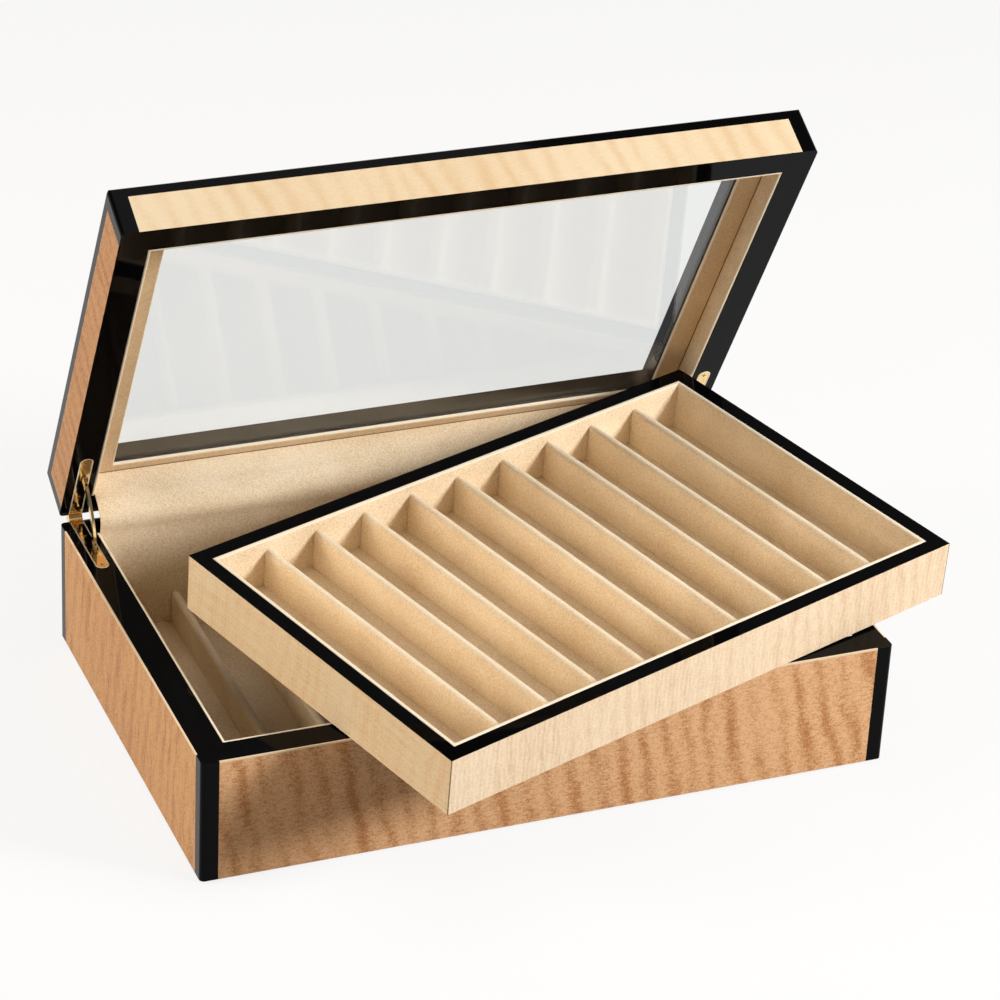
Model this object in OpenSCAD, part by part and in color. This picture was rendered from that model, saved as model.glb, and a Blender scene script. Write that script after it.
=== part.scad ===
// Two-layer case for fountain pens.
// A lacquered and veneered box with a glass-topped lid on two quadrant hinges, lined in suede,
// and a lift-out tray that lies askew on the open box, against the fold of the rear flap.
// Millimetres. Origin: centre of the underside. +X right, -Y front, +Z up.

/* [Case] */
// Width of the case, outside
case_w = 356; // [300:1:420]
// Depth of the case, outside
case_d = 236; // [225:1:280]
// Height of the base from the table to its rim
base_h = 66.5; // [62:0.5:90]
// Height of the lid from its rim to its top
lid_h = 26.5; // [26:0.5:40]
// Thickness of the walls, which is the width of the lacquered rims
wall = 15; // [14:0.5:18]
// Radius of the upright corners
corner_r = 2.5; // [1:0.5:5]
// Gap between the two rims when the lid is shut
rim_gap = 0.4; // [0.2:0.1:1]
// Thickness of the floor panel of the base
floor_t = 6; // [4:0.5:8]
// Thickness of the felt under the base
felt_t = 1; // [0.5:0.1:2]
// How far the felt stays inside the outline
felt_inset = 4; // [1:0.5:10]
// Depth of the rabbet that holds the floor panel
rabbet = 6; // [3:0.5:8]

/* [Veneer] */
// Thickness of the veneer, laid flush into the lacquer
veneer_t = 0.8; // [0.5:0.1:1]
// Width of the lacquered strip that stays bare at each upright corner
corner_strip = 8.7; // [5:0.1:12]
// Height of the lacquered border above the lid's veneer
lid_border = 5.6; // [2:0.1:8]

/* [Lining] */
// Thickness of the suede lining on the walls
lining_t = 1.6; // [1:0.1:2.5]
// Thickness of the padded suede on the floors
pad_t = 2; // [1:0.1:3]
// Height of the lining in the lid, from the rim to the seam
seam_h = 12; // [8:0.5:14]
// Thickness of the flat, suede-covered frame that holds the glass
retainer_t = 2; // [1:0.1:4]
// Thickness of the suede that folds across the hinge line
fold_t = 1.6; // [1:0.1:2.2]
// How far the fold bulges beyond the lining
fold_bulge = 1.6; // [0.5:0.1:2.5]

/* [Lid] */
// How far the lid stands open, degrees
open_angle = 62; // [40:1:90]
// Thickness of the glass
glass_t = 3; // [2:0.5:4]
// Width of the border round the glass at the ends, from the outside of the lid to the clear glass
border_w = 29; // [22:0.5:40]
// Width of the border at the front and rear
border_d = 22; // [20:0.5:40]
// Bevel along the top edges of the lid
bevel = 0.8; // [0.4:0.1:1.5]

/* [Pen slots] */
// Pen slots in each layer
slots = 10; // [6:1:12]
// Thickness of the dividers
divider_t = 4.6; // [3:0.1:6]
// Height of the dividers in the base, above the padded floor
base_divider_h = 17.5; // [12:0.5:20]
// Width of the ledges that carry the tray when it is stored
ledge_w = 9.4; // [6:0.1:12]

/* [Tray] */
// Height of the tray
tray_h = 30.5; // [26:0.5:34]
// Play all round between the stored tray and the lining of the base
tray_play = 0.85; // [0.5:0.05:2]
// Width of the tray's lacquered rim
tray_rim = 8; // [6:0.5:10]
// Thickness of the tray's lining, seen as a pale edge inside the rim
tray_lining_t = 2.5; // [1.5:0.1:3]
// Thickness of the tray's floor panel
tray_floor_t = 3; // [2:0.5:4]
// Thickness of the suede under the tray
tray_felt_t = 0.6; // [0.4:0.1:1]
// Depth of the rabbet that holds the tray's floor panel
tray_rabbet = 4; // [2:0.5:5]
// Thickness of the padded suede on the tray's floor
tray_pad_t = 1.6; // [1:0.1:3]
// How far the tray's dividers stay below its rim
tray_divider_drop = 5.1; // [2:0.1:10]
// How far the stored tray stays below the rim of the base
tray_inset = 1; // [0:0.5:3]

/* [How the tray lies on the open case] */
// Turn of the tray, degrees
tray_yaw = 18.5; // [15:0.1:20]
// Where the tray's rear corner bears on the fold, degrees about the middle of the fold
lean = 55.4; // [52:0.1:57]
// Distance of that corner from the lining of the right wall
corner_inset = 3.2; // [3:0.1:12]
// Clearance under the tray along the front rim
tray_lift = 0.3; // [0.1:0.1:1]
// Clearance between the tray's rear corner and the fold
fold_gap = 0.3; // [0.2:0.1:1]

/* [Hinges] */
// How far the hinge axis lies behind the case
axis_back = 3; // [2.9:0.1:4]
// Radius of the hinge barrels
barrel_r = 2.8; // [2:0.1:2.8]
// Radius of the hinge pins
pin_r = 1; // [0.8:0.1:1.3]
// Running clearance between pin and bore
pin_play = 0.04; // [0.02:0.01:0.08]
// Width of the leaves
leaf_w = 7; // [6:0.5:10]
// Length of the leaves, from the rear face to the round end
leaf_len = 50; // [48:1:56]
// Thickness of the leaves, let in flush with the rims
leaf_t = 1.6; // [1.2:0.1:2]
// Width of the middle knuckle
mid_knuckle_w = 3.2; // [2.5:0.1:4]
// Play beside the knuckles
knuckle_play = 0.1; // [0.05:0.05:0.3]
// Outer radius of the quadrant arms, about the hinge axis
arm_r = 38; // [34:0.5:39]
// Width of the quadrant arms
arm_w = 3.5; // [2.5:0.1:4.5]
// Thickness of the quadrant arms
arm_t = 1.4; // [1:0.1:1.8]
// Play between an arm and its slots, on each side
arm_play = 0.4; // [0.2:0.1:0.8]
// Radius of the stop pins through the arms' ends
stop_r = 0.8; // [0.5:0.1:1]
// Length of the stop pins
stop_len = 3.6; // [3:0.1:4]
// Radius of the screw shanks
screw_r = 1.2; // [1:0.1:1.5]
// Radius of the countersunk heads
screw_head_r = 2.5; // [2:0.1:2.8]
// Length of the screws below the leaves
screw_len = 10; // [6:1:12]
// Distance of the rear screws from the rear face
rear_screw = 16; // [10:0.5:18]

/* [Hidden] */
$fn = 64;
e = 0.01;             // overlap that keeps cuts clean
knife = 1;            // how far a cutting body runs past a face

open_w = case_w - 2 * wall;
open_d = case_d - 2 * wall;
inner_w = open_w - 2 * lining_t;
inner_d = open_d - 2 * lining_t;
pad_top = felt_t + floor_t + pad_t;
lid_z = base_h + rim_gap;
lid_top = lid_z + lid_h;
glass_z = lid_z + seam_h + retainer_t;
glass_top = glass_z + glass_t;
view_w = case_w - 2 * border_w;   // clear glass
view_d = case_d - 2 * border_d;
axis_y = case_d / 2 + axis_back;
axis_z = base_h + rim_gap / 2;

// the tray fits the lining of the base
tray_w = inner_w - 2 * tray_play;
tray_d = inner_d - 2 * tray_play;
tray_open_w = tray_w - 2 * tray_rim;
tray_open_d = tray_d - 2 * tray_rim;
tray_inner_w = tray_open_w - 2 * tray_lining_t;
tray_inner_d = tray_open_d - 2 * tray_lining_t;
tray_panel_z = tray_felt_t + tray_floor_t;
tray_pad_top = tray_panel_z + tray_pad_t;
tray_divider_top = tray_h - tray_divider_drop;
ledge_top = base_h - tray_inset - tray_h;

base_pitch = (inner_w - 2 * ledge_w) / slots;
tray_pitch = tray_inner_w / slots;
fit = 0.2;            // play at the ends of the dividers

// the fold is an arc through both linings' edges and a point that bulges between them
fold_r0 = axis_back + wall + lining_t;
fold_mid = fold_r0 + fold_bulge;
fold_half = fold_r0 * sin(open_angle / 2);
fold_sag = fold_mid - fold_r0 * cos(open_angle / 2);
fold_r = (fold_half * fold_half + fold_sag * fold_sag) / (2 * fold_sag);
fold_c = fold_mid - fold_r;
fold_play = 0.3;      // between the fold and the rims

// the tray's rear right corner bears on the fold and its underside on the front rim
lean_y = axis_y - fold_c * cos(open_angle / 2) - (fold_r + fold_gap) * cos(lean);
lean_z = axis_z + fold_c * sin(open_angle / 2) + (fold_r + fold_gap) * sin(lean);
lean_len = norm([lean_y + case_d / 2, lean_z - base_h]);
tray_tilt = atan2(lean_z - base_h, lean_y + case_d / 2) - asin(tray_lift / lean_len);
slope_y = sqrt(lean_len * lean_len - tray_lift * tray_lift);
// that corner as seen from the tray's centre, along the case's X and up the slope
corner_u = tray_w / 2 * cos(tray_yaw) - tray_d / 2 * sin(tray_yaw);
corner_v = tray_w / 2 * sin(tray_yaw) + tray_d / 2 * cos(tray_yaw);
tray_x = inner_w / 2 - corner_inset - corner_u;

// quadrant arms: the stop pins meet the undersides of the leaves when the lid stands open
arm_mid = arm_r - arm_w / 2;
stop_z = rim_gap / 2 + leaf_t + stop_r + 0.1;
stop_angle = asin(stop_z / arm_mid);
tail_angle = 2.2;
arm_swing = open_angle / 2 + stop_angle + tail_angle;
mortise_w = stop_len + 2 * arm_play;
mortise_y0 = (arm_r - arm_w) * cos(arm_swing) - knife;
mortise_y1 = arm_r + 2 * arm_play;
mortise_h = arm_r * sin(arm_swing) + 2 * arm_play;
hinge_x = case_w / 2 - wall / 2 - 1;
leaf_play = 0.1;
front_screw = leaf_len - leaf_w / 2;
head_h = screw_head_r - screw_r;
cross_w = 0.6;        // width of the cross recess in a screw head
cross_d = 0.5;        // depth of that recess

LACQUER = "#141315";
MAPLE = "#dcb98c";
SUEDE = "#d9bd94";
GOLD = "#d9ab4e";
FELT = "#3a3432";
GLASS = [0.85, 0.9, 0.9, 0.35];

// ---------- shapes that repeat ----------

// a block centred in X and Y
module slab(w, d, h) {
    translate([-w / 2, -d / 2, 0]) cube([w, d, h]);
}

// a centred block with a centred hole right through
module ring(w, d, inner_w, inner_d, h) {
    difference() {
        slab(w, d, h);
        translate([0, 0, -knife]) slab(inner_w, inner_d, h + 2 * knife);
    }
}

// a rectangle with round corners, made of true arcs
module rounded_rect(w, d, r) {
    square([w - 2 * r, d], center = true);
    square([w, d - 2 * r], center = true);
    for (x = [-1, 1], y = [-1, 1])
        translate([x * (w / 2 - r), y * (d / 2 - r)]) circle(r);
}

// turns an outline drawn in (Y, Z) into a plate of thickness t, centred in X
module plate_yz(t) {
    translate([-t / 2, 0, 0]) rotate([90, 0, 90]) linear_extrude(t) children();
}

// the part of the (Y, Z) plane between two angles about the hinge axis, 0 towards the front
module wedge(from, to, r) {
    mid = (from + to) / 2;
    polygon([[0, 0], [-r * cos(from), r * sin(from)],
             [-r * cos(mid), r * sin(mid)], [-r * cos(to), r * sin(to)]]);
}

// a divider: a board along Y with a round top, centred in X
module divider(length, h) {
    r = divider_t / 2;
    rotate([90, 0, 0]) linear_extrude(length, center = true) {
        translate([-r, 0]) square([divider_t, h - r]);
        translate([0, h - r]) circle(r);
    }
}

// veneer on one face: side "x" or "y", sign of that side
module veneer_x(sign, z, h) {
    w = case_d - 2 * corner_strip;
    translate([sign * (case_w / 2 - veneer_t / 2), 0, z]) slab(veneer_t, w, h);
}

module veneer_y(sign, z, h) {
    w = case_w - 2 * corner_strip;
    translate([0, sign * (case_d / 2 - veneer_t / 2), z]) slab(w, veneer_t, h);
}

// the four recesses that hold the veneer, cut past the outer faces
module veneer_recesses(z, h) {
    for (s = [-1, 1]) {
        translate([s * (case_w / 2 - veneer_t / 2 + knife / 2), 0, z])
            slab(veneer_t + knife, case_d - 2 * corner_strip, h);
        translate([0, s * (case_d / 2 - veneer_t / 2 + knife / 2), z])
            slab(case_w - 2 * corner_strip, veneer_t + knife, h);
    }
}

// lining on the front and side walls; the flap lines the rear one
module lining_u(w, d, t, h) {
    difference() {
        slab(w, d, h);
        translate([0, t, -knife]) slab(w - 2 * t, d, h + 2 * knife);
    }
}

// ---------- placing ----------

// turns what is drawn on the shut lid to the open lid
module on_lid() {
    translate([0, axis_y, axis_z]) rotate([-open_angle, 0, 0])
        translate([0, -axis_y, -axis_z]) children();
}

// The tray rises from the front rim and leans with one rear corner on the fold.
module on_tray() {
    translate([0, -case_d / 2, base_h]) rotate([tray_tilt, 0, 0])
        translate([tray_x, slope_y - corner_v, tray_lift]) rotate([0, 0, tray_yaw]) children();
}

// places a hinge piece, drawn about the hinge axis, at the left (-1) or right (1) hinge
module at_hinge(side) {
    translate([side * hinge_x, axis_y, axis_z]) children();
}

// ---------- hinge ----------

// outline of a leaf in (X, Y), with its round end to the front
module leaf_outline(play) {
    w = leaf_w + 2 * play;
    y0 = -(axis_back + leaf_len - leaf_w / 2);
    translate([0, y0]) circle(w / 2);
    translate([-w / 2, y0]) square([w, leaf_len - leaf_w / 2]);
}

// one knuckle with the neck that joins it to its leaf, from x0 to x1
module knuckle(x0, x1) {
    translate([x0, 0, 0]) rotate([0, 90, 0]) cylinder(r = barrel_r, h = x1 - x0);
    translate([x0, -axis_back - e, -rim_gap / 2 - leaf_t])
        cube([x1 - x0, axis_back + e, leaf_t]);
}

// countersunk hole, its mouth at z = 0
module screw_hole(play, depth) {
    translate([0, 0, -head_h]) cylinder(r1 = screw_r + play, r2 = screw_head_r + play, h = head_h + e);
    translate([0, 0, -depth]) cylinder(r = screw_r + play, h = depth);
}

// puts children at both screws of a leaf
module at_screws() {
    for (y = [front_screw, rear_screw])
        translate([0, -axis_back - y, -rim_gap / 2]) children();
}

// a leaf seen from above, its top face rim_gap / 2 below the axis; knuckles is a list of [x0, x1]
module leaf(knuckles) {
    difference() {
        union() {
            translate([0, 0, -rim_gap / 2 - leaf_t]) linear_extrude(leaf_t) leaf_outline(0);
            for (k = knuckles) knuckle(k[0], k[1]);
        }
        translate([-leaf_w, 0, 0]) rotate([0, 90, 0]) cylinder(r = pin_r + pin_play, h = 2 * leaf_w);
        translate([-(arm_t / 2 + arm_play), -(arm_r + arm_play), -rim_gap / 2 - leaf_t - knife])
            cube([arm_t + 2 * arm_play, arm_w + 2 * arm_play, leaf_t + 2 * knife]);
        at_screws() screw_hole(0.02, leaf_t + knife);
    }
}

outer_knuckles = [[-leaf_w / 2, -mid_knuckle_w / 2 - knuckle_play],
                  [mid_knuckle_w / 2 + knuckle_play, leaf_w / 2]];
mid_knuckle = [[-mid_knuckle_w / 2, mid_knuckle_w / 2]];

module base_leaf(side) {
    color(GOLD) at_hinge(side) leaf(outer_knuckles);
}

module lid_leaf(side) {
    color(GOLD) on_lid() at_hinge(side) mirror([0, 0, 1]) leaf(mid_knuckle);
}

module hinge_pin(side) {
    color(GOLD) at_hinge(side) translate([-leaf_w / 2, 0, 0]) rotate([0, 90, 0])
        cylinder(r = pin_r, h = leaf_w);
}

// An arm is a quadrant of a ring about the hinge axis. It slides through both leaves, and its
// two stop pins hold it there.
module quadrant(side) {
    first = -stop_angle - tail_angle;
    last = open_angle + stop_angle + tail_angle;
    color(GOLD) at_hinge(side) {
        plate_yz(arm_t) intersection() {
            difference() {
                circle(arm_r, $fn = 128);
                circle(arm_r - arm_w, $fn = 128);
            }
            wedge(first, last, 2 * arm_r);
        }
        for (a = [-stop_angle, open_angle + stop_angle])
            translate([-stop_len / 2, -arm_mid * cos(a), arm_mid * sin(a)])
                rotate([0, 90, 0]) cylinder(r = stop_r, h = stop_len, $fn = 24);
    }
}

// what a hinge cuts out of the rim below it: the leaf's bed, the arm's mortise, the screw holes
module hinge_cuts() {
    translate([0, 0, -rim_gap / 2 - leaf_t]) linear_extrude(leaf_t + knife) {
        leaf_outline(leaf_play);
        translate([-leaf_w / 2 - leaf_play, -axis_back - e]) square([leaf_w + 2 * leaf_play, knife]);
    }
    translate([-mortise_w / 2, -mortise_y1, -mortise_h - rim_gap / 2])
        cube([mortise_w, mortise_y1 - mortise_y0, mortise_h]);
    at_screws() screw_hole(0.05, leaf_t + screw_len + knife);
}

module screw() {
    difference() {
        union() {
            translate([0, 0, -head_h]) cylinder(r1 = screw_r, r2 = screw_head_r, h = head_h);
            translate([0, 0, -leaf_t - screw_len]) cylinder(r = screw_r, h = leaf_t + screw_len - head_h + e);
        }
        for (a = [0, 90]) rotate([0, 0, a])
            translate([-screw_r, -cross_w / 2, -cross_d]) cube([2 * screw_r, cross_w, cross_d + e]);
    }
}

// ---------- base ----------

module base_frame() {
    color(LACQUER) difference() {
        translate([0, 0, felt_t]) linear_extrude(base_h - felt_t)
            rounded_rect(case_w, case_d, corner_r);
        slab(open_w, open_d, base_h + knife);
        slab(open_w + 2 * rabbet, open_d + 2 * rabbet, felt_t + floor_t);
        veneer_recesses(felt_t - knife, base_h + knife);
        for (side = [-1, 1]) at_hinge(side) hinge_cuts();
    }
}

module base_floor() {
    color(LACQUER) translate([0, 0, felt_t])
        slab(open_w + 2 * rabbet - 2 * fit, open_d + 2 * rabbet - 2 * fit, floor_t);
}

module base_felt() {
    color(FELT) slab(case_w - 2 * felt_inset, case_d - 2 * felt_inset, felt_t);
}

module base_veneer_x(sign) {
    color(MAPLE) veneer_x(sign, felt_t, base_h - felt_t);
}

module base_veneer_y(sign) {
    color(MAPLE) difference() {
        veneer_y(sign, felt_t, base_h - felt_t);
        for (side = [-1, 1]) at_hinge(side) hinge_cuts();
    }
}

module base_lining() {
    color(SUEDE) translate([0, 0, felt_t + floor_t])
        lining_u(open_w, open_d, lining_t, base_h - felt_t - floor_t);
}

module base_pad() {
    color(SUEDE) translate([0, 0, felt_t + floor_t])
        slab(inner_w, inner_d, pad_t);
}

// the ledges that the stored tray rests on
module tray_ledge(side) {
    color(SUEDE) translate([side * (inner_w / 2 - ledge_w / 2), 0, pad_top])
        slab(ledge_w, inner_d, ledge_top - pad_top);
}

module base_divider(i) {
    color(SUEDE) translate([(i - slots / 2) * base_pitch, 0, pad_top])
        divider(inner_d - 2 * fit, base_divider_h);
}

// the flap: its lower part lines the rear wall of the base
module flap_skirt() {
    color(SUEDE) translate([0, open_d / 2 - lining_t / 2, felt_t + floor_t])
        slab(inner_w, lining_t, base_h - felt_t - floor_t);
}

// its fold bridges the hinge line while the lid stands open
module flap_fold() {
    color(SUEDE) translate([0, axis_y, axis_z]) plate_yz(inner_w) intersection() {
        rotate(-open_angle / 2) translate([-fold_c, 0]) difference() {
            circle(fold_r, $fn = 96);
            circle(fold_r - fold_t, $fn = 96);
        }
        wedge(asin(fold_play / fold_r0), open_angle - asin(fold_play / fold_r0), 2 * fold_r0);
    }
}

// ---------- lid ----------

// cuts a bevel along one top edge of the lid
module edge_bevel(length) {
    rotate([45, 0, 0]) cube([length, bevel * sqrt(2), bevel * sqrt(2)], center = true);
}

module lid_frame() {
    color(LACQUER) on_lid() difference() {
        translate([0, 0, lid_z]) linear_extrude(lid_h) rounded_rect(case_w, case_d, corner_r);
        slab(open_w, open_d, glass_top);
        slab(view_w, view_d, lid_top + knife);
        veneer_recesses(lid_z - knife, lid_h - lid_border + knife);
        for (s = [-1, 1]) {
            translate([0, s * case_d / 2, lid_top]) edge_bevel(case_w + knife);
            translate([s * case_w / 2, 0, lid_top]) rotate([0, 0, 90]) edge_bevel(case_d + knife);
        }
        for (side = [-1, 1]) at_hinge(side) mirror([0, 0, 1]) hinge_cuts();
    }
}

module lid_veneer_x(sign) {
    color(MAPLE) on_lid() veneer_x(sign, lid_z, lid_h - lid_border);
}

module lid_veneer_y(sign) {
    color(MAPLE) on_lid() difference() {
        veneer_y(sign, lid_z, lid_h - lid_border);
        for (side = [-1, 1]) at_hinge(side) mirror([0, 0, 1]) hinge_cuts();
    }
}

module lid_lining() {
    color(SUEDE) on_lid() translate([0, 0, lid_z]) lining_u(open_w, open_d, lining_t, seam_h);
}

// the upper part of the flap lines the rear wall of the lid, up to the seam
module flap_band() {
    color(SUEDE) on_lid() translate([0, open_d / 2 - lining_t / 2, lid_z])
        slab(inner_w, lining_t, seam_h);
}

// the suede-covered frame that holds the glass against the border, open as far as the border is
module glass_retainer() {
    color(SUEDE) on_lid() translate([0, 0, lid_z + seam_h])
        ring(open_w, open_d, view_w, view_d, retainer_t);
}

module lid_glass() {
    color(GLASS) on_lid() translate([0, 0, glass_z])
        slab(open_w - 2 * fit, open_d - 2 * fit, glass_t);
}

// ---------- tray ----------

module tray_frame() {
    color(LACQUER) on_tray() difference() {
        slab(tray_w - 2 * veneer_t, tray_d - 2 * veneer_t, tray_h);
        translate([0, 0, -knife]) slab(tray_open_w, tray_open_d, tray_h + 2 * knife);
        translate([0, 0, -knife])
            slab(tray_open_w + 2 * tray_rabbet, tray_open_d + 2 * tray_rabbet, tray_panel_z + knife);
    }
}

// a veneered side whose ends are mitred, w long, drawn along X on the front face
module mitred_side(w) {
    linear_extrude(tray_h)
        polygon([[-w / 2, 0], [w / 2, 0], [w / 2 - veneer_t, veneer_t], [-w / 2 + veneer_t, veneer_t]]);
}

module tray_veneer_y(turn) {
    color(MAPLE) on_tray() rotate([0, 0, turn]) translate([0, -tray_d / 2, 0]) mitred_side(tray_w);
}

module tray_veneer_x(turn) {
    color(MAPLE) on_tray() rotate([0, 0, turn]) translate([0, -tray_w / 2, 0]) mitred_side(tray_d);
}

module tray_panel(z, h) {
    translate([0, 0, z])
        slab(tray_open_w + 2 * tray_rabbet - 2 * fit, tray_open_d + 2 * tray_rabbet - 2 * fit, h);
}

module tray_floor() {
    color(LACQUER) on_tray() tray_panel(tray_felt_t, tray_floor_t);
}

module tray_felt() {
    color(FELT) on_tray() tray_panel(0, tray_felt_t);
}

module tray_lining() {
    color(SUEDE) on_tray() translate([0, 0, tray_panel_z])
        ring(tray_open_w, tray_open_d, tray_inner_w, tray_inner_d, tray_h - tray_panel_z);
}

module tray_pad() {
    color(SUEDE) on_tray() translate([0, 0, tray_panel_z])
        slab(tray_inner_w, tray_inner_d, tray_pad_t);
}

module tray_divider(i) {
    color(SUEDE) on_tray() translate([(i - slots / 2) * tray_pitch, 0, tray_pad_top])
        divider(tray_inner_d - 2 * fit, tray_divider_top - tray_pad_top);
}

// the screws of both base leaves and both lid leaves
module base_screws() {
    color(GOLD) for (side = [-1, 1]) at_hinge(side) at_screws() screw();
}

module lid_screws() {
    color(GOLD) on_lid() for (side = [-1, 1]) at_hinge(side) mirror([0, 0, 1]) at_screws() screw();
}

// ---------- nodes ----------

base_frame();
base_floor();
base_felt();
base_veneer_y(-1);  // base_veneer_front
base_veneer_y(1);  // base_veneer_rear
base_veneer_x(-1);  // base_veneer_left
base_veneer_x(1);  // base_veneer_right
base_lining();
tray_ledge(-1);  // tray_ledge_left
tray_ledge(1);  // tray_ledge_right
base_pad();
flap_skirt();
flap_fold();
for (i = [1:slots - 1])
    base_divider(i);
lid_frame();
lid_veneer_y(-1);  // lid_veneer_front
lid_veneer_y(1);  // lid_veneer_rear
lid_veneer_x(-1);  // lid_veneer_left
lid_veneer_x(1);  // lid_veneer_right
lid_lining();
flap_band();
glass_retainer();
lid_glass();
tray_frame();
tray_veneer_y(0);  // tray_veneer_front
tray_veneer_y(180);  // tray_veneer_rear
tray_veneer_x(-90);  // tray_veneer_left
tray_veneer_x(90);  // tray_veneer_right
tray_floor();
tray_felt();
tray_lining();
tray_pad();
for (i = [1:slots - 1])
    tray_divider(i);
base_leaf(-1);  // base_leaf_left
base_leaf(1);  // base_leaf_right
lid_leaf(-1);  // lid_leaf_left
lid_leaf(1);  // lid_leaf_right
hinge_pin(-1);  // hinge_pin_left
hinge_pin(1);  // hinge_pin_right
quadrant(-1);  // quadrant_left
quadrant(1);  // quadrant_right
base_screws();
lid_screws();
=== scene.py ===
"""Case for fountain pens: lacquered and veneered box, glass lid on quadrant hinges, loose tray.

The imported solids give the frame. This script gives every solid its finish, and makes the suede
pieces anew as soft, wrapped forms. All lengths are in metres, in the frame of the solids.
"""

import logging
import math
from dataclasses import dataclass, replace
from enum import Enum
from functools import reduce
from typing import Union

import bmesh
import bpy
import numpy as np
from mathutils import Matrix, Vector


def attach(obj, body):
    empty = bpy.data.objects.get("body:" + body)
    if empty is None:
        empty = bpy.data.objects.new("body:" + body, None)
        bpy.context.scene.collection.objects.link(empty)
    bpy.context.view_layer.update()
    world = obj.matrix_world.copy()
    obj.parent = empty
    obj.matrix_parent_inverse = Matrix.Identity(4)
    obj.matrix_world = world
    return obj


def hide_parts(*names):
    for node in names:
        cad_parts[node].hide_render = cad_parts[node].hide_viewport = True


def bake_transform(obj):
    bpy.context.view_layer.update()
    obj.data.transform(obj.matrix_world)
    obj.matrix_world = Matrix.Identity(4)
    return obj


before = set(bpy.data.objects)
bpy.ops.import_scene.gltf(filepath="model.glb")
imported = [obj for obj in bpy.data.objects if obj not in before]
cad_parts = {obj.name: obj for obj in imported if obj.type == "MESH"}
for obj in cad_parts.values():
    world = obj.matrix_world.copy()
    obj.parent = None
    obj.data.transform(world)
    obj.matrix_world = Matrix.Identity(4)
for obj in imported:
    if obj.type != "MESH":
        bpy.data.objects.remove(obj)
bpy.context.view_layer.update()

log = logging.getLogger("pen_case")

Array = np.ndarray
Material = bpy.types.Material
Pair = tuple[float, float]
Triple = tuple[float, float, float]
Number = Union[float, "Shade"]
MM = 0.001


# ---- shader arithmetic ----


class Shade:
    """One output of a node, on which plain arithmetic adds Math nodes."""

    def __init__(self, palette: "Palette", socket: bpy.types.NodeSocket | None) -> None:
        """Keeps the node's palette and output."""
        self.palette, self.socket = palette, socket

    def math(self, kind: str, first: Number, second: Number = 0.0, clamp: bool = False) -> "Shade":
        """Adds one Math node of that kind on two values. clamp keeps its result from 0 to 1."""
        settings = {"operation": kind, "use_clamp": clamp}
        return self.palette.add("Math", settings, Value=first, Value_001=second)

    def __add__(self, other: Number) -> "Shade":
        """self + other."""
        return self.math("ADD", self, other)

    __radd__ = __add__

    def __mul__(self, other: Number) -> "Shade":
        """self * other."""
        return self.math("MULTIPLY", self, other)

    __rmul__ = __mul__

    def __sub__(self, other: Number) -> "Shade":
        """self - other."""
        return self.math("SUBTRACT", self, other)

    def __rsub__(self, other: Number) -> "Shade":
        """other - self."""
        return self.math("SUBTRACT", other, self)

    def __truediv__(self, other: Number) -> "Shade":
        """self / other."""
        return self.math("DIVIDE", self, other)

    def __pow__(self, other: Number) -> "Shade":
        """self to the power other."""
        return self.math("POWER", self, other)

    def sine(self) -> "Shade":
        """The sine, with self in radians."""
        return self.math("SINE", self)

    def size(self) -> "Shade":
        """The absolute value."""
        return self.math("ABSOLUTE", self)

    def most(self, other: Number) -> "Shade":
        """The larger of self and other."""
        return self.math("MAXIMUM", self, other)

    def held(self) -> "Shade":
        """self, kept from 0 to 1."""
        return self.math("ADD", self, clamp=True)

    def step(self, low: float, high: float) -> "Shade":
        """A smooth rise from 0 at low to 1 at high."""
        return self.palette.add("MapRange", {"interpolation_type": "SMOOTHSTEP"},
                                Value=self, From_Min=low, From_Max=high)


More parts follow.
